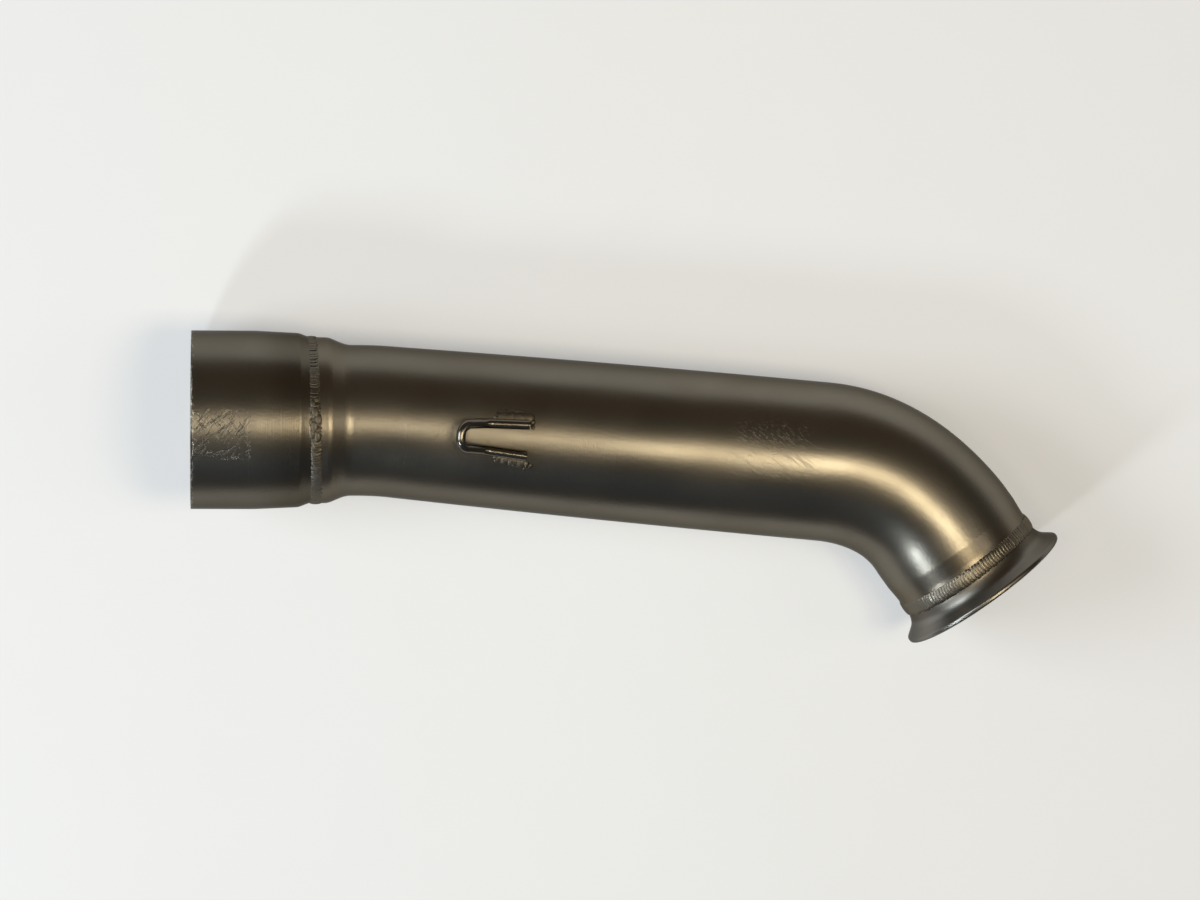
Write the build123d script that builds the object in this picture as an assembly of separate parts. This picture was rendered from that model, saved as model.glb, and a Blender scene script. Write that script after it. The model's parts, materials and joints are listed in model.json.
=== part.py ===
from build123d import *
from math import cos, pi, radians, sin, sqrt, tan
import os

# Slip-on sleeve, in mm
socket_bore = 54.0
socket_depth = 20.0
sleeve_wall = 1.3
sleeve_draw = 0.65
draw_length = 7.0
draw_round = 6.0
drawn_length = 6.9
shoulder_drop = 1.3
shoulder_length = 3.5
shoulder_round = 2.0
seam_land = 1.9
mouth_bevel = 0.3

# Main tube: its wall, the steps in its outside radius, and the line that its middle follows
tube_wall = 1.2
swage_rise = 2.4
run_swell = 1.5
bend_drop = 0.75
joint_drop = 0.4
swage_land = 4.0
swage_cone = 5.7
swage_foot_round = 8.0
swage_top_round = 5.0
kink_lead = 13.7
kink_radius = 122.5
kink_angle = 5.0
run_length = 138.6
run_cones = 3
bend_radius = 53.7
bend_angle = 48.5
bend_squash = 0.45
bend_rings = 8
stub_length = 13.7
joint_land = 3.0
joint_draw = 5.0
joint_round = 12.0

# Flared collar
collar_wall = 1.4
flare_start = 2.8
flare_rise = 4.75
flare_round = 5.5
flare_angle = 52.0
lip_land = 1.406364
lip_round = 0.7
seat_start = 4.6
seat_land = 1.15
seat_foot_round = 5.5

# Weld beads round the two joints
bead_width = 4.2
bead_crown = 0.4
bead_depth = 0.9

# Spring hook, bent from round wire and welded along both legs
hook_wire = 3.0
hook_width = 11.5
hook_place = 92.4
hook_clock = 2.0
hook_leg = 13.0
hook_splay = 3.0
hook_reach = 10.4
hook_lift = 35.0
hook_bend = 5.0
hook_gap = 0.08
bow_share = 0.8
weld_radius = 2.3
weld_length = 12.2
weld_start = 2.7
weld_inset = 0.2
weld_sink = 0.4

# The outside radii, each from the one before it
sleeve_radius = socket_bore / 2 + sleeve_wall
seam_radius = sleeve_radius - sleeve_draw - shoulder_drop
neck_radius = seam_radius - swage_rise
body_radius = neck_radius + run_swell
stub_radius = body_radius - bend_drop
joint_radius = stub_radius - joint_drop
lip_radius = joint_radius + flare_rise
seat_mouth_radius = lip_radius - seat_land

# Lengths along the sleeve and the collar
sleeve_length = socket_depth + draw_length + drawn_length + shoulder_length + seam_land
flare_foot = flare_start + flare_round * tan(radians(flare_angle) / 2)
flare_top = flare_foot + flare_rise / tan(radians(flare_angle))
collar_length = flare_top + lip_land


def centreline():
    """The middle line from the sleeve's mouth to the collar's lip."""
    lead = Line((0, 0), (sleeve_length + kink_lead, 0))
    kink = JernArc(lead @ 1, lead % 1, kink_radius, -kink_angle)
    run = Line(kink @ 1, kink @ 1 + (kink % 1) * run_length)
    bend = JernArc(run @ 1, run % 1, bend_radius, -bend_angle)
    stub = Line(bend @ 1, bend @ 1 + (bend % 1) * (stub_length + collar_length))
    return [leg.edges()[0] for leg in (lead, kink, run, bend, stub)]


legs = centreline()
middle = Wire(legs)
kink_start = sleeve_length + kink_lead
run_start = kink_start + kink_radius * radians(kink_angle)
bend_start = run_start + run_length
bend_length = bend_radius * radians(bend_angle)
bend_end = bend_start + bend_length
joint_place = bend_end + stub_length


def square_to(place):
    """The plane square to the middle line, its own X square to the bend's plane."""
    return Plane(
        origin=middle.position_at(place, PositionMode.LENGTH),
        x_dir=(0, 0, 1),
        z_dir=middle.tangent_at(place, PositionMode.LENGTH),
    )


def turned(outline):
    """A solid turned about Z from an outline with radius along X."""
    return revolve(make_face(Plane.XZ * outline), Axis.Z)


def shell_of(skin, wall):
    """A wall turned about Z between an outline at inset 0 and the same one inset by the wall."""
    outer, inner = skin(0), skin(wall)
    rims = Line(outer @ 0, inner @ 0) + Line(outer @ 1, inner @ 1)
    return turned(outer + inner + rims)


def sleeve_skin(inset):
    """The sleeve from its mouth at Z 0 to the seam."""
    socket = sleeve_radius - inset
    shoulder_end = sleeve_length - seam_land
    return FilletPolyline(
        (socket, 0),
        (socket, socket_depth),
        (socket - sleeve_draw, socket_depth + draw_length),
        (socket - sleeve_draw, shoulder_end - shoulder_length),
        (seam_radius - inset, shoulder_end),
        (seam_radius - inset, sleeve_length),
        radius=[draw_round, draw_round, shoulder_round, 0],
    )


def make_sleeve():
    sleeve = shell_of(sleeve_skin, sleeve_wall)
    return chamfer(sleeve.edges().group_by(Axis.Z)[0], mouth_bevel)


def swage_skin(inset):
    """The tube's swaged end from the seam at Z 0 to the neck."""
    cone_end = swage_land + swage_cone
    return FilletPolyline(
        (seam_radius - inset, 0),
        (seam_radius - inset, swage_land),
        (neck_radius - inset, cone_end),
        (neck_radius - inset, kink_lead),
        radius=[swage_top_round, swage_foot_round],
    )


def run_radius(place):
    """Outside radius of the straight run, which swells in one long arc up to the bend."""
    swell = body_radius - neck_radius
    arc = (run_length**2 + swell**2) / (2 * swell)
    return body_radius - arc + sqrt(arc**2 - (bend_start - place) ** 2)


def run_skin(inset):
    """The straight run from the kink at Z 0 to the bend, as a few slight cones."""
    steps = [run_length * step / run_cones for step in range(run_cones + 1)]
    return Polyline(*[(run_radius(run_start + step) - inset, step) for step in steps])


def bend_radii(x):
    """Outside radius square to the bend's plane, and the flatter one in the plane."""
    radius = body_radius + (stub_radius - body_radius) * (1 - cos(pi * x)) / 2
    return radius, radius - bend_squash * sin(pi * x**2)


def bend_form(inset):
    """The bend as a solid body, its surface the given depth inside the outer one."""
    rings = []
    for step in range(bend_rings + 1):
        x = step / bend_rings
        upright, across = bend_radii(x)
        ring = square_to(bend_start + bend_length * x)
        rings.append(ring * Ellipse(upright - inset, across - inset))
    return loft(rings)


def stub_skin(inset):
    """The stub, from the bend at Z 0 to the collar's joint."""
    draw_end = stub_length - joint_land
    return FilletPolyline(
        (stub_radius - inset, 0),
        (stub_radius - inset, draw_end - joint_draw),
        (joint_radius - inset, draw_end),
        (joint_radius - inset, stub_length),
        radius=joint_round,
    )


def make_tube():
    kink_ring = square_to(kink_start) * (Circle(neck_radius) - Circle(neck_radius - tube_wall))
    seam_end = square_to(sleeve_length).location * shell_of(swage_skin, tube_wall)
    run = square_to(run_start).location * shell_of(run_skin, tube_wall)
    bend = bend_form(0) - bend_form(tube_wall)
    stub = square_to(bend_end).location * shell_of(stub_skin, tube_wall)
    return seam_end + sweep(kink_ring, path=legs[1]) + run + bend + stub


def make_collar():
    """The collar, turned from the joint at Z 0 to the lip."""
    throat = joint_radius - collar_wall
    outer = FilletPolyline(
        (joint_radius, 0),
        (joint_radius, flare_foot),
        (lip_radius, flare_top),
        (lip_radius, collar_length),
        (seat_mouth_radius, collar_length),
        (throat, seat_start),
        (throat, 0),
        radius=[flare_round, lip_round, lip_round, 0, seat_foot_round],
    )
    return turned(outer + Line(outer @ 1, outer @ 0))


def girth_groove(radius):
    """The V that a weld bead fills, run on past the surface so that it cuts clean."""
    over = bead_width / 2 * (1 + bead_crown / bead_depth)
    corners = [(radius + bead_crown, -over), (radius + bead_crown, over)]
    return turned(Polyline((radius - bead_depth, 0), *corners, close=True))


def girth_bead(radius):
    """A weld ring round Z: a low crown over the V that it fills."""
    half = bead_width / 2
    crown = ThreePointArc((radius, -half), (radius + bead_crown, 0), (radius, half))
    return turned(crown + Polyline((radius, half), (radius - bead_depth, 0), (radius, -half)))


def hook_frame():
    """Origin on the tube's middle line, X along the tube, Z out through the hook."""
    at = middle.position_at(hook_place, PositionMode.LENGTH)
    along = middle.tangent_at(hook_place, PositionMode.LENGTH)
    return Plane(origin=at, x_dir=along, z_dir=(0, 0, 1)).rotated((hook_clock, 0, 0)).location


def leg_spot(x, side):
    """Middle of one leg's wire at a distance x along the tube, as it lies on the tube."""
    half = (hook_width - hook_wire) / 2 + x * tan(radians(hook_splay))
    reach = run_radius(hook_place + x) + hook_gap + hook_wire / 2
    return Vector(x, side * half, sqrt(reach**2 - half**2))


def make_hook():
    """A U of wire: two legs along the tube, lifted off it at the bow."""
    half = (hook_width - hook_wire) / 2
    lift = radians(hook_lift)
    rise = Vector(-hook_reach * cos(lift), 0, hook_reach * sin(lift))
    corners = [leg_spot(hook_leg, 1), leg_spot(0, 1), leg_spot(0, 1) + rise]
    corners += [leg_spot(0, -1) + rise, leg_spot(0, -1), leg_spot(hook_leg, -1)]
    bow = bow_share * half
    line = FilletPolyline(*corners, radius=[hook_bend, bow, bow, hook_bend])
    start = Plane(origin=line @ 0, z_dir=line % 0)
    return hook_frame() * sweep(start * Circle(hook_wire / 2), path=line)


def leg_weld(side):
    """A rounded weld run that fills the corner outside one leg."""
    ends = []
    for x in (weld_start + weld_radius, weld_start + weld_length - weld_radius):
        wire = leg_spot(x, side)
        out = Vector(0, wire.Y, wire.Z).normalized()
        sideways = Vector(0, side * out.Z, -side * out.Y)
        surface = wire - out * (hook_wire / 2 + hook_gap)
        ends.append(surface + sideways * (weld_radius + weld_inset) - out * weld_sink)
    length = (ends[1] - ends[0]).length
    slant = weld_radius * sin(pi / 4)
    nose = ThreePointArc((0, -weld_radius), (slant, -slant), (weld_radius, 0))
    side_line = Line((weld_radius, 0), (weld_radius, length))
    tail_end = (0, length + weld_radius)
    tail = ThreePointArc((weld_radius, length), (slant, length + slant), tail_end)
    run = turned(nose + side_line + tail + Line(tail_end, (0, -weld_radius)))
    seat = Plane(origin=ends[0], z_dir=ends[1] - ends[0]).location
    return hook_frame() * (seat * run)


def lowest_spot(place, radii, down):
    """The point of the ring round the middle line at a place that reaches furthest down."""
    ring = square_to(place)
    x = radii[0] * ring.x_dir.dot(down)
    y = radii[1] * ring.y_dir.dot(down)
    reach = ring.x_dir * (radii[0] * x) + ring.y_dir * (radii[1] * y)
    return ring.origin + reach / sqrt(x * x + y * y)


def lying_plane():
    """The floor as the loose pipe meets it: under the sleeve, the bend and the lip."""
    lip_start = joint_place + flare_top + lip_round
    lip_end = joint_place + collar_length - lip_round
    steps = [step / (4 * bend_rings) for step in range(4 * bend_rings)]
    feet = [
        [(place, (sleeve_radius, sleeve_radius)) for place in (mouth_bevel, socket_depth)],
        [(place, (lip_radius, lip_radius)) for place in (lip_start, lip_end)],
        [(bend_start + bend_length * x, bend_radii(x)) for x in steps],
    ]
    down = Vector(0, 0, -1)
    for _ in range(12):
        spots = []
        for foot in feet:
            tries = [lowest_spot(place, radii, down) for place, radii in foot]
            spots.append(max(tries, key=lambda spot: spot.dot(down)))
        down = (spots[1] - spots[0]).cross(spots[2] - spots[0]).normalized()
        down = down if down.Z < 0 else -down
    mouth = square_to(0)
    along = mouth.z_dir - down * mouth.z_dir.dot(down)
    return Plane(origin=mouth.origin, x_dir=along, z_dir=-down)


def build_pieces():
    mouth = square_to(0).location
    seam = square_to(sleeve_length).location
    joint = square_to(joint_place).location
    seam_groove = seam * girth_groove(seam_radius)
    joint_groove = joint * girth_groove(joint_radius)
    run_body = Line((0, 0), (neck_radius, 0)) + run_skin(0)
    run_body += Polyline((body_radius, run_length), (0, run_length), (0, 0))
    carrier = square_to(run_start).location * turned(run_body)
    hook = make_hook()
    return {
        "outlet_sleeve": mouth * make_sleeve() - seam_groove,
        "main_tube": make_tube() - seam_groove - joint_groove,
        "flared_collar": joint * make_collar() - joint_groove,
        "sleeve_weld_bead": seam * girth_bead(seam_radius),
        "collar_weld_bead": joint * girth_bead(joint_radius),
        "spring_hook": hook,
        "hook_weld_outer": leg_weld(1) - carrier - hook,
        "hook_weld_inner": leg_weld(-1) - carrier - hook,
    }


os.makedirs("parts", exist_ok=True)
ground = lying_plane()
for name, piece in build_pieces().items():
    export_step(ground.to_local_coords(piece), f"parts/{name}.step")
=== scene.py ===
# %% [markdown]
# # Exhaust collector pipe
# A short motorbike exhaust pipe of satin stainless steel lies on a pale table. It has a slip-on sleeve at one
# end, a long tube with a slight kink and one real bend, and a flared collar at the other end. Two welds hold
# these together, and a wire hook for a spring is welded on top.
# Such a pipe is made straight and then bent, and the scene does the same: every piece is turned and welded on
# one straight line, and a Curve modifier then carries it along the pipe's real middle line.

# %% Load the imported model
import json
import random
import bpy
import numpy as np
from math import cos, pi, radians, sin, sqrt, tan
from mathutils import Matrix, Vector


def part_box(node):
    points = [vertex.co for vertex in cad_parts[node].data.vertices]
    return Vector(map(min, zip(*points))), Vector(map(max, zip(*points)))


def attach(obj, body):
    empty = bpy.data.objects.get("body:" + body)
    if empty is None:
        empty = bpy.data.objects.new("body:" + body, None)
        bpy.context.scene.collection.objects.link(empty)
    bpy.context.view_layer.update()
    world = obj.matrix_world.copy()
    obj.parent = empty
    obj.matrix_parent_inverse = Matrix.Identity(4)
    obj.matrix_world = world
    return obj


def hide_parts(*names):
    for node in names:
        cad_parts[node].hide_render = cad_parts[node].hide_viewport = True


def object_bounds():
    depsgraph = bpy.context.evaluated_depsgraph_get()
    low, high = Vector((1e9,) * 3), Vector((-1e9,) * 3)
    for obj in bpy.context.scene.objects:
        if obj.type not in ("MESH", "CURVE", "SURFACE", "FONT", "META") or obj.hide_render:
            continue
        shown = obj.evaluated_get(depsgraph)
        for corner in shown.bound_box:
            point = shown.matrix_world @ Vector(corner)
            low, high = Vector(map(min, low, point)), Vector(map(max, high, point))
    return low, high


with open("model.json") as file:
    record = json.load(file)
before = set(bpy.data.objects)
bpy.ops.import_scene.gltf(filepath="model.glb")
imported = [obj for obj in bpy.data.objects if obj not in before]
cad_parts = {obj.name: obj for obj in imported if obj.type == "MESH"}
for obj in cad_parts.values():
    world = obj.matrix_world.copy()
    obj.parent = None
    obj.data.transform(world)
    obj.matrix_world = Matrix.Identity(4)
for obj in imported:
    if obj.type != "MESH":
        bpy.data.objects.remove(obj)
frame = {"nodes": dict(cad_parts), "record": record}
cad_low, cad_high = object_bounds()
print("Nodes of the packed model:", ", ".join(sorted(frame["nodes"])))
print("Its size in mm:", [round(1000 * side, 1) for side in cad_high - cad_low])

# %% [markdown]
# ## Where the pipe lies
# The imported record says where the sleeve's mouth is, which way the sleeve points, and which way the collar
# points. The bend lies in the plane of those two directions, so they give all three axes of the pipe: along
# the sleeve, across it in the plane of the bend, and square to that plane. One matrix then places whatever is
# modelled on the straight pipe.

# %% The pipe's own axes
mm, micron = 1e-3, 1e-6
mounts = {mount["name"]: mount for mount in frame["record"]["mounts"]}
mouth = Vector(mounts["sleeve_socket"]["pos_m"])
sleeve_axis = -Vector(mounts["sleeve_socket"]["axis"]).normalized()
collar_axis = Vector(mounts["collar_flare"]["axis"]).normalized()
bend_normal = collar_axis.cross(sleeve_axis).normalized()
across = bend_normal.cross(sleeve_axis)
pipe_place = Matrix((sleeve_axis, across, bend_normal)).transposed().to_4x4()
pipe_place.translation = mouth
print("Square to the bend:", [round(part, 4) for part in bend_normal])

# %% [markdown]
# ## The middle line
# The middle line is a straight lead, a kink of five degrees, the long run, the bend of about fifty degrees
# and a short stub. A Bezier curve draws it with one point where each stretch meets the next. An arc comes out
# round when its handles are 4/3 tan(turn / 4) of its radius long.

# %% Draw the middle line
sleeve_length = 39.3 * mm
kink_start = 53 * mm
kink_radius, kink_angle = 122.5 * mm, radians(5.0)
run_length = 138.6 * mm
bend_radius, bend_angle = 53.7 * mm, radians(48.5)
stub_length = 13.7 * mm
collar_length = 10.6 * mm
run_start = kink_start + kink_radius * kink_angle
bend_start = run_start + run_length
bend_end = bend_start + bend_radius * bend_angle
joint_place = bend_end + stub_length
lip_place = joint_place + collar_length


def draw_middle_line():
    """Returns a flat curve, as long as the straight pipe, that follows the real one."""
    stretches = [(kink_start, 0), (run_start - kink_start, kink_angle), (run_length, 0)]
    stretches += [(bend_end - bend_start, bend_angle), (lip_place - bend_end, 0)]
    data = bpy.data.curves.new("middle_line", "CURVE")
    data.dimensions = "3D"
    data.resolution_u = 64
    points = data.splines.new("BEZIER").bezier_points
    points.add(len(stretches))
    place, heading = Vector((0, 0, 0)), Vector((1, 0, 0))
    points[0].handle_left = (-mm, 0, 0)
    for point, after, (length, angle) in zip(points, points[1:], stretches):
        handle = chord = length
        if angle:
            radius = length / angle
            handle, chord = 4 * tan(angle / 4) * radius, 2 * radius * sin(angle / 2)
        point.handle_right = place + heading * handle / 3
        place = place + (Matrix.Rotation(-angle / 2, 3, "Z") @ heading) * chord
        heading = Matrix.Rotation(-angle, 3, "Z") @ heading
        after.co = place
        after.handle_left = place - heading * handle / 3
    points[-1].handle_right = place + heading * mm
    line = bpy.data.objects.new("middle_line", data)
    bpy.context.scene.collection.objects.link(line)
    return line


middle_line = draw_middle_line()
print("Length of the middle line in mm:", round(1000 * middle_line.data.splines[0].calc_length(), 3))

# %% [markdown]
# ## Modelling helpers
# A turned part starts as the outline of its section. The outline is one vertex, extruded from corner to
# corner; a vertex bevel then rounds a corner to its radius. The same helper draws the line of the wire hook.
# An operator works on what is selected, so each helper first selects the vertices that it is meant for.

# %% Draw an outline with rounded corners
same_spot = 0.01 * mm
arc_step = radians(7)


def pick(piece, test):
    """Selects, in edit mode, the vertices whose place passes the test."""
    bpy.ops.mesh.select_mode(type="VERT")
    bpy.ops.mesh.select_all(action="DESELECT")
    bpy.ops.object.mode_set(mode="OBJECT")
    for vertex in piece.data.vertices:
        vertex.select = bool(test(vertex.co))
    bpy.ops.object.mode_set(mode="EDIT")


def round_corner(piece, before, corner, after, radius):
    """Turns one corner of a line into an arc."""
    angle = (corner - before).angle(after - corner)
    offset, segments = radius * tan(angle / 2), max(3, round(angle / arc_step))
    pick(piece, lambda place: (place - corner).length < same_spot)
    bpy.ops.mesh.bevel(offset=offset, segments=segments, affect="VERTICES", offset_type="OFFSET")


def draw_outline(name, corners, rounds, closed):
    """Returns a mesh line through the corners, left in edit mode, with each corner's rounding made."""
    corners = [Vector(corner) for corner in corners]
    bpy.ops.object.select_all(action="DESELECT")
    bpy.ops.mesh.primitive_plane_add(size=mm)
    piece = bpy.context.object
    piece.name = piece.data.name = name
    bpy.ops.object.mode_set(mode="EDIT")
    bpy.ops.mesh.merge(type="CENTER")
    bpy.ops.transform.translate(value=corners[0])
    for before, corner in zip(corners, corners[1:]):
        bpy.ops.mesh.extrude_region_move(TRANSFORM_OT_translate={"value": corner - before})
    if closed:
        ends = (corners[0], corners[-1])
        pick(piece, lambda place: min((place - end).length for end in ends) < same_spot)
        bpy.ops.mesh.edge_face_add()
    count = len(corners)
    for at, radius in sorted(rounds.items()):
        round_corner(piece, corners[at - 1], corners[at], corners[(at + 1) % count], radius)
    return piece


# %% [markdown]
# ## Turning, bending and placing
# `turn` spins an outline once round the pipe's axis, which is what a lathe or a spinning tool does. `bend`
# first writes each vertex's place on the straight pipe into an attribute. Brushing and scratches read that
# attribute later, so they follow the pipe round its bend. The Curve modifier does the bending itself.
# Weighted normals then keep the long faces even where they meet the small faces of a rounding.

# %% Turn, bend and place
ring_steps = 128


def turn(name, outline, rounds):
    """Returns the ring or tube that a closed outline of (along, radius) corners makes round the X axis."""
    corners = [(along, radius, 0) for along, radius in outline]
    piece = draw_outline(name, corners, rounds, closed=True)
    bpy.ops.mesh.select_all(action="SELECT")
    bpy.ops.mesh.spin(steps=ring_steps, angle=2 * pi, center=(0, 0, 0), axis=(1, 0, 0))
    bpy.ops.mesh.select_all(action="SELECT")
    bpy.ops.mesh.remove_doubles(threshold=2 * micron)
    bpy.ops.mesh.normals_make_consistent(inside=False)
    bpy.ops.object.mode_set(mode="OBJECT")
    return piece


def select_only(piece):
    """Makes one object the active and only selected one."""
    bpy.ops.object.select_all(action="DESELECT")
    piece.select_set(True)
    bpy.context.view_layer.objects.active = piece


def bend(piece, node):
    """Carries a straight piece along the middle line and puts it in its node's place."""
    places = np.zeros(3 * len(piece.data.vertices), np.float32)
    piece.data.vertices.foreach_get("co", places)
    straight = piece.data.attributes.new("straight", "FLOAT_VECTOR", "POINT")
    straight.data.foreach_set("vector", places)
    select_only(piece)
    modifier = piece.modifiers.new("bend", "CURVE")
    modifier.object = middle_line
    modifier.deform_axis = "POS_X"
    bpy.ops.object.modifier_apply(modifier=modifier.name)
    piece.data.transform(pipe_place)
    bpy.ops.object.shade_smooth_by_angle(angle=radians(35))
    modifier = piece.modifiers.new("even_shading", "WEIGHTED_NORMAL")
    modifier.keep_sharp = True
    bpy.ops.object.modifier_apply(modifier=modifier.name)
    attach(piece, "root")
    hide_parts(node)
    piece.data.vertices.foreach_get("co", places)
    spots = places.reshape(-1, 3)
    low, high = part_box(node)
    off = max(np.abs(spots.min(0) - np.array(low)).max(), np.abs(spots.max(0) - np.array(high)).max())
    print(f"{piece.name}: {len(piece.data.polygons)} faces, off its node's box by {1000 * off:.3f} mm")


# %% [markdown]
# ## The slip-on sleeve
# The sleeve is the end that slips over the next pipe. Its socket is plain and 54 mm wide inside; past it the
# sleeve is drawn in along one long, gentle curve, and a short shoulder takes it down to the seam. A cylinder
# could be scaled ring by ring, but one spun outline keeps the wall even and gives each rounding its radius.

# %% Turn the sleeve
socket_radius = mounts["sleeve_socket"]["dims"]["r_mm"] * mm
sleeve_wall, sleeve_draw = 1.3 * mm, 0.65 * mm
socket_depth, drawn_place, shoulder_place = 20 * mm, 33.9 * mm, 37.4 * mm
seam_radius = 26.35 * mm
draw_round, shoulder_round, edge_round = 60 * mm, 3 * mm, 0.35 * mm


def sleeve_outline(inset):
    """The sleeve's skin from its mouth to the seam, a given depth inside the outer one."""
    outer, seam = socket_radius + sleeve_wall - inset, seam_radius - inset
    line = [(0, outer), (socket_depth, outer), (drawn_place, outer - sleeve_draw)]
    return line + [(shoulder_place, seam), (sleeve_length, seam)]


sleeve_rounds = {1: draw_round, 2: shoulder_round, 7: shoulder_round, 8: draw_round, 9: edge_round}
sleeve = turn("sleeve", sleeve_outline(0) + sleeve_outline(sleeve_wall)[::-1], sleeve_rounds)
bend(sleeve, "outlet_sleeve")

# %% [markdown]
# ## The main tube
# The tube is swaged out at the seam, runs almost straight, and swells by a millimetre up to the bend, where
# the bender flattened it a little. Its outline has a corner every few millimetres there, so that it bends
# smoothly, and each ring of the bend is pressed in by the amount that the real tube lost. A curve with a
# round bevel would be quicker, but it has one radius, no wall and no flattening.

# %% Turn the main tube
tube_wall = 1.2 * mm
neck_radius, body_radius, stub_radius, joint_radius = 23.95 * mm, 25.45 * mm, 24.7 * mm, 24.3 * mm
swage_start, swage_end = 43.3 * mm, 49 * mm
step_start, step_end = bend_end + 5.7 * mm, joint_place - 3 * mm
swage_top_round, swage_foot_round, step_round = 5 * mm, 8 * mm, 12 * mm
kink_rings, run_rings, bend_rings = 6, 12, 32
bend_squash = 0.45 * mm


def between(start, end, steps):
    """Evenly spaced places between two others, without the first."""
    return [start + (end - start) * step / steps for step in range(1, steps + 1)]


def run_radius(place):
    """Outside radius of the long run, which swells in one long arc up to the bend."""
    swell = body_radius - neck_radius
    arc = (run_length**2 + swell**2) / (2 * swell)
    return body_radius - arc + sqrt(arc**2 - (bend_start - place) ** 2)


def bend_share(place):
    """How far along the bend a place is, from 0 to 1."""
    return (place - bend_start) / (bend_end - bend_start)


def tube_outline(inset):
    """The tube's skin from the seam to the joint, a given depth inside the outer one."""
    line = [(sleeve_length, seam_radius), (swage_start, seam_radius), (swage_end, neck_radius)]
    line += [(place, neck_radius) for place in [kink_start] + between(kink_start, run_start, kink_rings)]
    line += [(place, run_radius(place)) for place in between(run_start, bend_start, run_rings)]
    for place in between(bend_start, bend_end, bend_rings):
        shrink = (1 - cos(pi * bend_share(place))) / 2
        line.append((place, body_radius + (stub_radius - body_radius) * shrink))
    line += [(step_start, stub_radius), (step_end, joint_radius), (joint_place, joint_radius)]
    return [(place, radius - inset) for place, radius in line]


def press_bend(tube):
    """Flattens the tube a little in the plane of the bend, most past its middle."""
    bpy.ops.object.mode_set(mode="EDIT")
    for place in between(bend_start, bend_end, bend_rings)[:-1]:
        share = 1 - bend_squash * sin(pi * bend_share(place) ** 2) / body_radius
        pick(tube, lambda spot: abs(spot.x - place) < 5 * same_spot)
        bpy.ops.transform.resize(value=(1, share, 1), center_override=(place, 0, 0))
    bpy.ops.object.mode_set(mode="OBJECT")


tube_line = tube_outline(0)
last = len(tube_line) - 1
tube_rounds = {1: swage_top_round, 2: swage_foot_round, last - 2: step_round, last - 1: step_round}
tube_rounds |= {2 * last + 1 - at: radius for at, radius in tube_rounds.items()}
tube = turn("tube", tube_line + tube_outline(tube_wall)[::-1], tube_rounds)
press_bend(tube)
bend(tube, "main_tube")

# %% [markdown]
# ## The flared collar
# The collar is turned from bar: a short neck, a trumpet out to a thin lip, and a cone inside that seats on
# the next pipe. It is one more spun outline, because its skin and its seat aren't the same shape.

# %% Turn the collar
collar_wall, collar_neck = 1.4 * mm, 2.8 * mm
flare_angle, flare_round = radians(52), 5.5 * mm
lip_radius, lip_round = 29.05 * mm, 0.7 * mm
seat_radius, seat_start, seat_edge = 27.9 * mm, 4.6 * mm, 0.1 * mm
throat = joint_radius - collar_wall
flare_foot = joint_place + collar_neck + flare_round * tan(flare_angle / 2)
flare_top = flare_foot + (lip_radius - joint_radius) / tan(flare_angle)
collar_line = [(joint_place, joint_radius), (flare_foot, joint_radius), (flare_top, lip_radius)]
collar_line += [(lip_place, lip_radius), (lip_place, seat_radius), (joint_place + seat_start, throat)]
collar_line += [(joint_place, throat)]
collar_rounds = {1: flare_round, 2: lip_round, 3: lip_round, 4: seat_edge, 5: flare_round}
collar = turn("collar", collar_line, collar_rounds)
bend(collar, "flared_collar")

# %% [markdown]
# ## Weld puddles
# A weld of this kind is a row of puddles, each frozen half over the one before it. One puddle is modelled: the
# upper half of a ball. A row of flattened copies, each tipped up at its leading edge, makes the ripples.

# %% Model one puddle
random.seed(4)
bpy.ops.object.select_all(action="DESELECT")
bpy.ops.mesh.primitive_uv_sphere_add(segments=14, ring_count=8, radius=1)
puddle = bpy.context.object
puddle.name = puddle.data.name = "puddle"
bpy.ops.object.mode_set(mode="EDIT")
bpy.ops.mesh.select_all(action="SELECT")
bpy.ops.mesh.bisect(plane_co=(0, 0, -0.2), plane_no=(0, 0, 1), use_fill=True, clear_inner=True)
bpy.ops.object.mode_set(mode="OBJECT")


def lay_puddle(matrix, along, around, high):
    """A copy of the puddle with these half sizes and a mesh of its own, carried to its place."""
    copy = puddle.copy()
    copy.data = puddle.data.copy()
    copy.data.transform(matrix @ Matrix.Diagonal((along, around, high, 1)))
    bpy.context.scene.collection.objects.link(copy)
    return copy


def join(name, pieces):
    """Joins pieces into the last one."""
    select_only(pieces[-1])
    for piece in pieces:
        piece.select_set(True)
    bpy.ops.object.join()
    pieces[-1].name = pieces[-1].data.name = name
    return pieces[-1]


print("One puddle has", len(puddle.data.polygons), "faces")

# %% [markdown]
# ## The two girth welds
# Each weld is a low ring with puddles all the way round it. The collar's weld is a neat, close row, laid a
# little towards the lip. The sleeve's weld came from a less steady hand: it is flatter, uneven and a little
# askew, and its end overlaps its start in a rough patch of lumps.

# %% Lay the girth welds
def girth_weld(name, place, radius, half_width, pitch, height, unevenness):
    """A ring of puddles round the straight pipe."""

    def waver(most):
        return unevenness * random.uniform(-most, most)

    edge = half_width + 0.1 * mm
    section = [(-edge, radius - 0.05 * mm), (0.35 * mm - edge, radius + 0.1 * mm)]
    section += [(-along, reach) for along, reach in section[::-1]] + [(0, radius - 0.9 * mm)]
    pieces = [turn(name, [(place + along, reach) for along, reach in section], {})]
    count = round(2 * pi * radius / pitch)
    for step in range(count):
        around = 2 * pi * (step + waver(0.5)) / count
        tip = radians(-13 + waver(6))
        spot = Vector((place + waver(0.3) * mm, 0, radius + 0.02 * mm))
        size = 1 + waver(0.12)
        matrix = Matrix.Rotation(around, 4, "X") @ Matrix.Translation(spot) @ Matrix.Rotation(tip, 4, "X")
        pieces.append(lay_puddle(matrix, size * half_width, 1.2 * pitch, size * height))
    return join(name, pieces)


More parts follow.
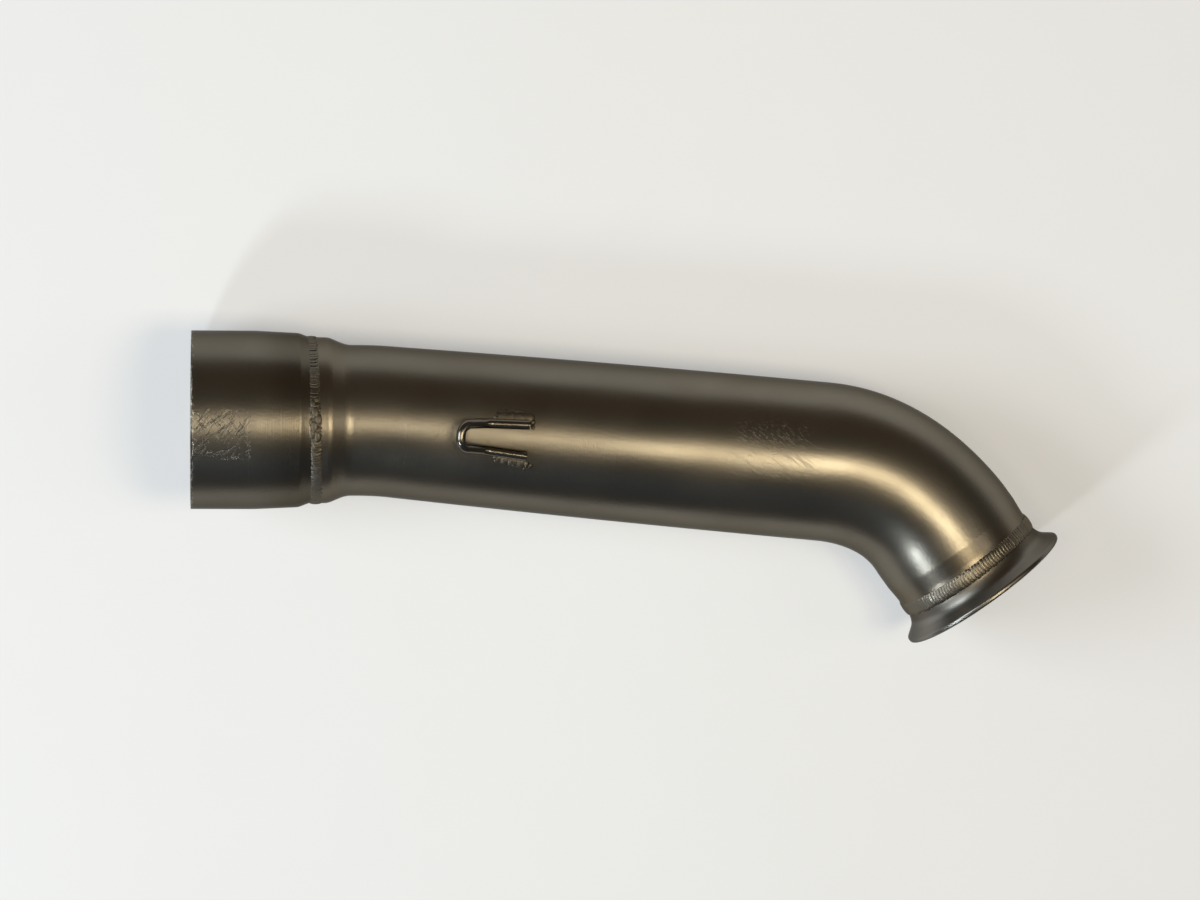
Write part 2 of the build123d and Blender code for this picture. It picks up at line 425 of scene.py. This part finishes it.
collar_weld_place = joint_place + 0.5 * mm
collar_weld = girth_weld(
    "collar_weld", collar_weld_place, joint_radius, half_width=2.4 * mm, pitch=1.15 * mm,
    height=0.45 * mm, unevenness=0.35,
)
bend(collar_weld, "collar_weld_bead")

weld_skew, weld_shift = radians(2), -0.75 * mm
ring_weld = girth_weld(
    "sleeve_weld", sleeve_length, seam_radius, half_width=1.7 * mm, pitch=0.95 * mm,
    height=0.22 * mm, unevenness=0.8,
)
select_only(ring_weld)
bpy.ops.object.mode_set(mode="EDIT")
bpy.ops.mesh.select_all(action="SELECT")
bpy.ops.transform.rotate(value=-weld_skew, orient_axis="Z", center_override=(sleeve_length, 0, 0))
bpy.ops.transform.translate(value=(weld_shift, 0, 0))
bpy.ops.object.mode_set(mode="OBJECT")
lumps = [(-2.5, 1, 0.9), (-1.1, -2, 1.3), (0.1, 3, 1.2), (-1.8, -7, 1.1)]
lumps += [(-0.1, -9, 1.2), (-0.9, 8, 1.3), (-1.6, 14, 1.0)]
rough_patch = []
for along, around, size in lumps:
    spot = Vector((sleeve_length + along * mm, 0, seam_radius + 0.1 * mm))
    matrix = Matrix.Rotation(radians(-around), 4, "X") @ Matrix.Translation(spot)
    rough_patch.append(lay_puddle(matrix, 0.9 * size * mm, 1.5 * size * mm, 0.32 * size * mm))
sleeve_weld = join("sleeve_weld", rough_patch[::-1] + [ring_weld])
bend(sleeve_weld, "sleeve_weld_bead")

# %% [markdown]
# ## The spring hook
# The hook is a U of 3 mm wire that holds the end of a spring. Its line is drawn as the outlines were, only
# left open, and then turned into a curve with a round bevel, which is how wire keeps its thickness in every
# bend. The legs lie along the tube, and the bow rises off it and is pinched a little.

# %% Bend the wire hook
wire_radius, wire_gap = 1.5 * mm, 0.08 * mm
hook_place, hook_clock = 92.4 * mm, radians(2)
hook_half, hook_splay, hook_leg = 4.25 * mm, radians(3), 13 * mm
hook_reach, hook_lift = 10.4 * mm, radians(35)
bow_pinch, foot_round = 0.5 * mm, 5 * mm
bow_round = 0.92 * (hook_half - bow_pinch)
hook_turn = Matrix.Translation((hook_place, 0, 0)) @ Matrix.Rotation(hook_clock, 4, "X")


def leg_spot(along, side):
    """Middle of one leg's wire, a distance along the tube from where the bow starts to rise."""
    half = hook_half + along * tan(hook_splay)
    reach = run_radius(hook_place + along) + wire_gap + wire_radius
    return Vector((along, side * half, sqrt(reach**2 - half**2)))


rise = Vector((-cos(hook_lift), 0, sin(hook_lift))) * hook_reach
pinch = Vector((0, bow_pinch, 0))
hook_line = [leg_spot(hook_leg, 1), leg_spot(0, 1), leg_spot(0, 1) + rise - pinch]
hook_line += [leg_spot(0, -1) + rise + pinch, leg_spot(0, -1), leg_spot(hook_leg, -1)]
hook_rounds = {1: foot_round, 2: bow_round, 3: bow_round, 4: foot_round}
hook = draw_outline("hook", [hook_turn @ corner for corner in hook_line], hook_rounds, closed=False)
bpy.ops.object.mode_set(mode="OBJECT")
bpy.ops.object.convert(target="CURVE")
hook.data.bevel_depth = wire_radius
hook.data.bevel_resolution = 6
hook.data.use_fill_caps = True
bpy.ops.object.convert(target="MESH")
hook = bpy.context.object
bend(hook, "spring_hook")

# %% [markdown]
# ## The hook's welds
# Each leg is held by a short, heavy run of puddles on its outer side. Two beads of spatter froze beside them,
# and a small crater was left where the torch pulled away from the upper leg. The same puddle serves for all of
# these, with a place and half sizes of its own each time.

# %% Weld the hook
def leg_weld(name, side, spots):
    """Lumps of weld along one leg, each given as (along, outwards, width, length, height) in mm."""
    pieces = []
    for along, outwards, width, length, height in spots:
        wire = leg_spot(along * mm, side)
        out = Vector((0, wire.y, wire.z)).normalized()
        foot = wire - out * (wire_radius + 0.25 * mm)
        around = side * (wire_radius + outwards * mm)
        matrix = hook_turn @ Matrix.Translation(foot) @ Matrix.Rotation(-hook_splay * side, 4, "Z")
        matrix = matrix @ Matrix.Rotation(-side * out.angle(Vector((0, 0, 1))), 4, "X")
        matrix = matrix @ Matrix.Translation((0, around, -0.5 * around**2 / body_radius))
        matrix = matrix @ Matrix.Rotation(radians(random.uniform(-10, 10)), 4, "Y")
        pieces.append(lay_puddle(matrix, length * mm, width * mm, height * mm))
    return join(name, pieces)


outer_spots = [
    (3.6 + 1.3 * step, 0.7 + 0.2 * (step % 2), 2.1, 2.1, 0.62 + 0.08 * (step % 3)) for step in range(8)
]
outer_spots += [(2.4, 1.2, 0.5, 0.5, 0.9), (13.9, -0.3, 1.2, 1.0, 0.6), (14.2, -1.9, 0.9, 0.8, 0.4)]
outer_spots += [(5.0, 2.4, 1.2, 1.8, 0.36), (9.5, 2.6, 1.1, 2.4, 0.34)]
outer_weld = leg_weld("outer_weld", 1, outer_spots)
bend(outer_weld, "hook_weld_outer")

inner_spots = [(4.4 + 1.25 * step, 0.8 + 0.08 * step, 1.8 + 0.05 * step, 2.0, 0.64) for step in range(7)]
inner_spots += [(13.2, 1.6, 1.5, 0.9, 0.75), (12.6, 2.6, 1.3, 0.7, 0.6)]
inner_spots += [(14.2, 2.0, 0.9, 1.0, 0.45), (3.0, 1.2, 0.5, 0.5, 1.0)]
inner_weld = leg_weld("inner_weld", -1, inner_spots)
bend(inner_weld, "hook_weld_inner")
bpy.data.objects.remove(puddle)

# %% [markdown]
# ## Shader sums
# Materials are written as sums in Python. A `Signal` wraps a socket of a shader tree, so that two signals can
# be added or multiplied like numbers; each such step adds a Math node. Its method `node` adds any other node.

# %% Wrap a socket
class Signal:
    """A socket of a shader tree that takes part in sums."""

    def __init__(self, tree, socket=None):
        self.tree, self.socket = tree, socket

    def node(self, kind, settings, *values, output=0):
        """Adds a node, feeds it numbers, colours or signals in order, and returns one output."""
        made = self.tree.nodes.new(kind)
        for key, setting in settings.items():
            setattr(made, key, setting)
        for socket, value in zip(made.inputs, values):
            if isinstance(value, Signal):
                self.tree.links.new(value.socket, socket)
            elif value is not None:
                socket.default_value = value
        return Signal(self.tree, made.outputs[output])

    def math(self, operation, *values):
        return self.node("ShaderNodeMath", {"operation": operation}, *values)

    def __add__(self, other):
        return self.math("ADD", self, other)

    def __sub__(self, other):
        return self.math("SUBTRACT", self, other)

    def __rsub__(self, other):
        return self.math("SUBTRACT", other, self)

    def __mul__(self, other):
        return self.math("MULTIPLY", self, other)

    def __abs__(self):
        return self.math("ABSOLUTE", self)

    __radd__, __rmul__ = __add__, __mul__

    def split(self):
        """The three numbers of a vector."""
        return [self.node("ShaderNodeSeparateXYZ", {}, self, output=at) for at in range(3)]

    def step(self, low, high):
        """Rises smoothly from 0 at low to 1 at high, or falls where high is below low."""
        return self.node("ShaderNodeMapRange", {"interpolation_type": "SMOOTHSTEP"}, self, low, high, 0, 1)

    def cells(self, *sizes, turn=0):
        """A place counted in cells of these sizes in mm along X, Y and Z, turned about Z."""
        settings, sizes = {"vector_type": "TEXTURE"}, [size * mm for size in sizes]
        return self.node("ShaderNodeMapping", settings, self, None, (0, 0, radians(turn)), sizes)

    def noise(self, detail=2.0, roughness=0.5):
        """Cloudy noise at this place, one cloud to each unit."""
        return self.node("ShaderNodeTexNoise", {}, self, None, 1.0, detail, roughness)

    def mix(self, low, high):
        """A colour between two others, by this share."""
        unused = [None] * 5
        return self.node("ShaderNodeMix", {"data_type": "RGBA"}, self, *unused, low, high, output=2)


# %% [markdown]
# ## Satin steel
# Stainless steel that was brushed has fine grooves, and they blur what it mirrors. Each finish starts from the
# place on the straight pipe, so the grooves run round the real, bent one. Slow waves in the surface come from
# drawing and rolling; they break a long highlight up a little. Broad clouds of tint and roughness keep it from
# looking like plastic. Bare metal mirrors nearly all light that grazes it; the dull film on this pipe doesn't,
# and the edge tint says how much is left. A picture could be wrapped round the pipe, but noise has no seam.

# %% Make a finish
def finish(name, pieces, steel, warm, roughness, edge=0.36):
    """A new metal on some pieces: its shader, the place its patterns read, cloudy tint and roughness."""
    material = bpy.data.materials.new(name)
    material.use_nodes = True
    shader = material.node_tree.nodes["Principled BSDF"]
    shader.inputs["Metallic"].default_value = 1
    shader.inputs["Specular Tint"].default_value = (edge, edge, edge, 1)
    for piece in pieces:
        piece.data.materials.clear()
        piece.data.materials.append(material)
    place = Signal(material.node_tree).node("ShaderNodeAttribute", {"attribute_name": "straight"}, output=1)
    clouds = place.cells(26, 26, 26).noise(3).step(0.3, 0.7)
    specks = place.cells(1.2, 1.2, 1.2).noise(3, 0.7)
    print(name, "is on", ", ".join(piece.name for piece in pieces))
    return shader, place, clouds.mix(steel, warm), roughness + 0.05 * clouds + 0.06 * (specks - 0.5)


def dress(shader, color, roughness, height):
    """Links a finish to its shader; the height is in metres."""
    links = color.tree.links
    links.new(color.socket, shader.inputs["Base Color"])
    links.new(roughness.socket, shader.inputs["Roughness"])
    bump = color.node("ShaderNodeBump", {}, 1.0, 1.0, None, height)
    links.new(bump.socket, shader.inputs["Normal"])


def brushing(place):
    """Fine grooves round the pipe: quick along it and slow around it."""
    fine = place.cells(0.29, 25, 25).noise(2)
    broad = place.cells(0.9, 55, 55).noise(1)
    return 45 * micron * fine + 16 * micron * broad


def waves(place, size):
    """Slow waves and a fine orange peel in the surface, both in metres of height."""
    slow = place.cells(size, 0.8 * size, 0.8 * size).noise(1)
    peel = place.cells(1.1, 1.1, 1.1).noise(2, 0.6)
    return 380 * micron * slow + 22 * micron * peel


def scratches(place, turn, length, width, share):
    """Thin straight scratches of a length and width in mm, where a stretched noise passes a share."""
    return place.cells(length, width, width, turn=turn).noise(1).step(share, share + 0.04)


def near(value, middle, half, soft):
    """1 where a value is within half of a middle one, and 0 beyond, with a soft rim; all in mm."""
    return abs(value - middle * mm).step((half + soft) * mm, half * mm)


# %% [markdown]
# ## The sleeve's finish
# The sleeve has been slipped on and off, so it has crossed scratches on top near the mouth, and nicks in its
# edge. A faint ring shows how far in the other pipe goes. Towards the weld the steel is painted darker, a
# painted shade that dims its highlight there.

# %% Finish the sleeve
grime = (0.08, 0.07, 0.055, 1)
steel, warm = (0.285, 0.264, 0.227, 1), (0.254, 0.233, 0.195, 1)
shader, place, color, rough = finish("sleeve_satin", [sleeve], steel, warm, 0.305)
along, up, out = place.split()
marked = near(along, 9, 7, 3) * near(up, -3.5, 5.5, 3) * out.step(0, 5 * mm)
cuts = scratches(place, 58, 10, 0.6, 0.61) + scratches(place, 37, 8, 0.7, 0.62)
cuts = (cuts + scratches(place, -50, 6, 0.6, 0.64)) * marked
ring = near(along, 17.5, 0.15, 0.25)
nicks = place.cells(0.7, 1.3, 1.3).noise(2).step(0.5, 0.62) * along.step(0.9 * mm, 0.1 * mm)
# Painted shade: the steel is painted darker towards the weld, which dims its highlight there.
color = (0.75 * along.step(19 * mm, 33 * mm)).mix(color, (0.15, 0.131, 0.101, 1))
color = (0.45 * cuts + 0.3 * ring).math("MINIMUM", 0.6).mix(color, grime)
color = (0.5 * nicks).mix(color, (0.6, 0.57, 0.5, 1))
height = (0.6 + 0.4 * along.step(20 * mm, 32 * mm)) * brushing(place)
height = height - 130 * micron * cuts - 15 * micron * ring - 60 * micron * nicks + waves(place, 26)
dress(shader, color, rough + 0.08 * cuts, height)

# %% [markdown]
# ## The tube's finish
# The long tube is brushed and a little dull up to the hook and smooth past it, so its highlight is brighter
# there. Two faint rings, pits and a few light scratches come from the bender's clamps. Heat from the welds
# left a brown tint.

# %% Finish the tube
steel, warm = (0.33, 0.304, 0.257, 1), (0.297, 0.268, 0.221, 1)
shader, place, color, rough = finish("tube_satin", [tube], steel, warm, 0.305)
along, up, out = place.split()
dull = along.step(166 * mm, 133 * mm)
rings = near(along, 65.5, 0.1, 0.3) + near(along, 67.4, 0.1, 0.3)
pitted = near(along, 183, 9, 8) * near(up, 4, 6, 6)
pits = place.cells(0.8, 0.8, 0.8).noise(1).step(0.66, 0.72) * pitted
cuts = scratches(place, -35, 9, 0.4, 0.6) * pitted
hot = near(along, 41, 3, 7) + near(along, joint_place / mm, 3, 9)
hot = hot + near(along, 101, 8, 4) * near(abs(up), 6, 3, 3) * out.step(0, 5 * mm)
color = (0.45 * hot).mix(color, (0.26, 0.205, 0.137, 1))
color = (0.3 * cuts + 0.2 * pits + 0.3 * rings).math("MINIMUM", 0.6).mix(color, grime)
color = (0.42 * dull).mix(color, (0.16, 0.145, 0.12, 1))
brushed = 0.12 + 0.5 * dull + 0.5 * near(along, 250, 2, 6)
height = brushed * brushing(place) - 14 * micron * (cuts + pits) - 12 * micron * rings + waves(place, 30)
dress(shader, color, rough + 0.08 * cuts, height)

# %% [markdown]
# ## The collar and the hook
# The collar is turned, so its grooves run round it. It is painted darker and browner on the outer side of the
# bend, a painted shade, and painted dark in the corner where its trumpet starts, a painted shade that hides the
# lamp's highlight there. The hook is drawn wire, darker than the tube and smooth.

# %% Finish the collar and the hook
steel, warm = (0.235, 0.225, 0.206, 1), (0.208, 0.196, 0.174, 1)
shader, place, color, rough = finish("collar_satin", [collar], steel, warm, 0.3)
along, up, out = place.split()
# Painted shade: the corner where the trumpet starts is painted dark, which hides the lamp's highlight there.
corner = near(along, joint_place / mm + 3.4, 0.9, 1.6)
# Painted shade: the outer side of the bend is painted darker and browner.
color = (0.5 * up.step(-7 * mm, 6 * mm)).mix(color, (0.1, 0.086, 0.067, 1))
color = (0.6 * corner).mix(color, (0.1, 0.085, 0.065, 1))
dress(shader, color, rough + 0.1 * corner, 0.4 * brushing(place) + waves(place, 18))

steel, warm = (0.19, 0.175, 0.15, 1), (0.15, 0.135, 0.112, 1)
shader, place, color, rough = finish("drawn_wire", [hook], steel, warm, 0.22, edge=0.45)
dress(shader, color, rough, 8 * micron * place.cells(3, 1, 1).noise(3, 0.6))

# %% [markdown]
# ## The welds' finish
# Weld metal is rougher and darker than the steel, with a straw tint from the heat. The sleeve's weld and the
# hook's are burnt darker still on top; down the sides the burnt metal gives way to a paler one.

# %% Finish the welds
steel, warm = (0.2, 0.18, 0.148, 1), (0.14, 0.118, 0.085, 1)
shader, place, color, rough = finish("weld_metal", [collar_weld], steel, warm, 0.3)
grain = place.cells(0.6, 0.6, 0.6).noise(4, 0.65)
dress(shader, color, rough + 0.15 * grain, 45 * micron * grain)

steel, warm = (0.115, 0.1, 0.078, 1), (0.08, 0.066, 0.047, 1)
burnt = [sleeve_weld, outer_weld, inner_weld]
shader, place, color, rough = finish("burnt_weld", burnt, steel, warm, 0.36)
along, up, out = place.split()
grain = place.cells(0.5, 0.5, 0.5).noise(4, 0.65)
color = (0.7 * abs(up).step(9 * mm, 16 * mm)).mix(color, (0.21, 0.192, 0.16, 1))
dress(shader, color, rough + 0.15 * grain, 60 * micron * grain)

# %% [markdown]
# ## The floor
# A pale, matt table top. The pipe's shadow falls on it, and the pipe's lower sides mirror it. More light would
# whiten it, but would whiten the steel as well. Instead the table glows a little by itself, and a Light Path
# node lets only the camera and mirrors see that. The glow fades out far away from the pipe.

# %% Lay the floor
table_size, table_glow = 8, 0.62
glow_start, glow_end = 0.3, 1.8
bpy.ops.object.select_all(action="DESELECT")
bpy.ops.mesh.primitive_plane_add(size=table_size, location=(cad_high.x / 2, 0, cad_low.z))
table = bpy.context.object
table.name = "table_top"
matt = bpy.data.materials.new("pale_table")
matt.use_nodes = True
nodes, links = matt.node_tree.nodes, matt.node_tree.links
shader = nodes["Principled BSDF"]
shader.inputs["Specular IOR Level"].default_value = 0.1
shader.inputs["Roughness"].default_value = 0.9
place = Signal(matt.node_tree).node("ShaderNodeTexCoord", {}, output=3)
color = place.cells(25, 25, 25).noise(3).mix((0.8, 0.8, 0.8, 1), (0.78, 0.78, 0.785, 1))
links.new(color.socket, shader.inputs["Base Color"])
camera_ray, glossy_ray, transmission_ray = [
    place.node("ShaderNodeLightPath", {}, output=at) for at in (0, 3, 6)
]
seen = (camera_ray + glossy_ray + transmission_ray).math("MINIMUM", 1.0)
away = place.node("ShaderNodeVectorMath", {"operation": "LENGTH"}, place, output=1)
glow = place.node("ShaderNodeEmission", {}, (1, 1, 1, 1), 1.0)
share = table_glow * seen * away.step(glow_end, glow_start)
both = place.node("ShaderNodeMixShader", {}, share, Signal(matt.node_tree, shader.outputs[0]), glow)
links.new(both.socket, nodes["Material Output"].inputs["Surface"])
table.data.materials.append(matt)
print("The table top lies at a height of", round(1000 * cad_low.z, 2), "mm")

# %% [markdown]
# ## Camera
# The photograph was taken from almost straight above with a long lens. The camera's place is given on the
# pipe's own axes, so it stays over the pipe however that lies. The focal length isn't guessed: it follows from
# the distance and from how many millimetres one pixel of the photograph covers at the pipe.

# %% Set up the camera
photo_width = 1200
photo_scale = 0.31916 * mm
aim = Vector((130.15, -9.14, 0)) * mm
to_camera = Vector((-0.0915, 0.0513, 1)).normalized()
camera_distance = 1.6
sensor = 36.0
camera_roll = radians(0.2164)
bpy.ops.object.camera_add()
camera = bpy.context.object
camera.data.sensor_width = sensor
camera.data.lens = sensor * camera_distance / (photo_width * photo_scale)
side = Vector((cos(camera_roll), sin(camera_roll), 0))
up = to_camera.cross(side).normalized()
turned = Matrix((up.cross(to_camera), up, to_camera)).transposed().to_4x4()
turned.translation = aim + to_camera * camera_distance
camera.matrix_world = pipe_place @ turned
camera.data.clip_end = 20
bpy.context.scene.camera = camera
print("Focal length in mm:", round(camera.data.lens, 1))

# %% [markdown]
# ## Light
# The photograph was lit by a warm ceiling lamp, which draws the gold streak along the tube, and by a cool
# window to the lower left, which puts bluish spots on the bend and the collar. A weaker ceiling lamp carries
# the streak on over the sleeve, and a glow from the right lights the swage beside it. The room is dim between
# them, with a brownish wall on one side and a bluish one on the other, and makes the dark bands. A soft box
# beyond the sleeve lights the table without showing in the tube's side.

# %% Light the pipe
def soft_lamp(name, place, aim, size, color, radiance):
    """A rectangular lamp at a place on the pipe's axes, in metres, that faces another one."""
    bpy.ops.object.light_add(type="AREA")
    lamp = bpy.context.object
    lamp.name = lamp.data.name = name
    lamp.data.shape = "RECTANGLE"
    lamp.data.size, lamp.data.size_y = size
    lamp.data.color = color
    lamp.data.energy = radiance * pi * size[0] * size[1]
    lamp.visible_camera = False
    face = (Vector(place) - Vector(aim)).to_track_quat("Z", "Y").to_matrix().to_4x4()
    face.translation = place
    lamp.matrix_world = pipe_place @ face


world = bpy.data.worlds.new("room")
bpy.context.scene.world = world
world.use_nodes = True
world.node_tree.nodes["Background"].inputs["Color"].default_value = (0.065, 0.057, 0.046, 1)
soft_lamp("ceiling", (0.423, -0.06, 1), (0.423, -0.06, 0), (0.354, 0.28), (1, 0.87, 0.62), 12.3)
soft_lamp("ceiling_left", (-0.06, -0.05, 1), (-0.06, -0.05, 0), (0.2, 0.26), (1, 0.88, 0.68), 6.5)
soft_lamp("brown_wall", (0.1, 1.2, 0.7), (0.1, 0, 0), (2.5, 1.0), (1, 0.45, 0.1), 0.048)
soft_lamp("blue_wall", (0.1, -1.2, 0.7), (0.1, 0, 0), (2.5, 1.0), (0.1, 0.45, 1), 0.06)
soft_lamp("window", (-0.54, -0.712, 0.63), (0.23, -0.043, 0.02), (0.16, 0.22), (0.8, 0.91, 1), 38)
soft_lamp("right_glow", (0.95, 0, 0.85), (0.05, 0, 0.02), (0.35, 0.35), (1, 0.92, 0.8), 2)
soft_lamp("left_box", (-1.0, 0.0, 0.85), (0.1, 0, 0), (0.7, 0.7), (0.84, 0.93, 1), 8)
bpy.context.scene.view_settings.view_transform = "Standard"

# %% [markdown]
# ## Finish
# The middle line was only a guide, so it goes.

# %% Finish
bpy.data.objects.remove(middle_line)
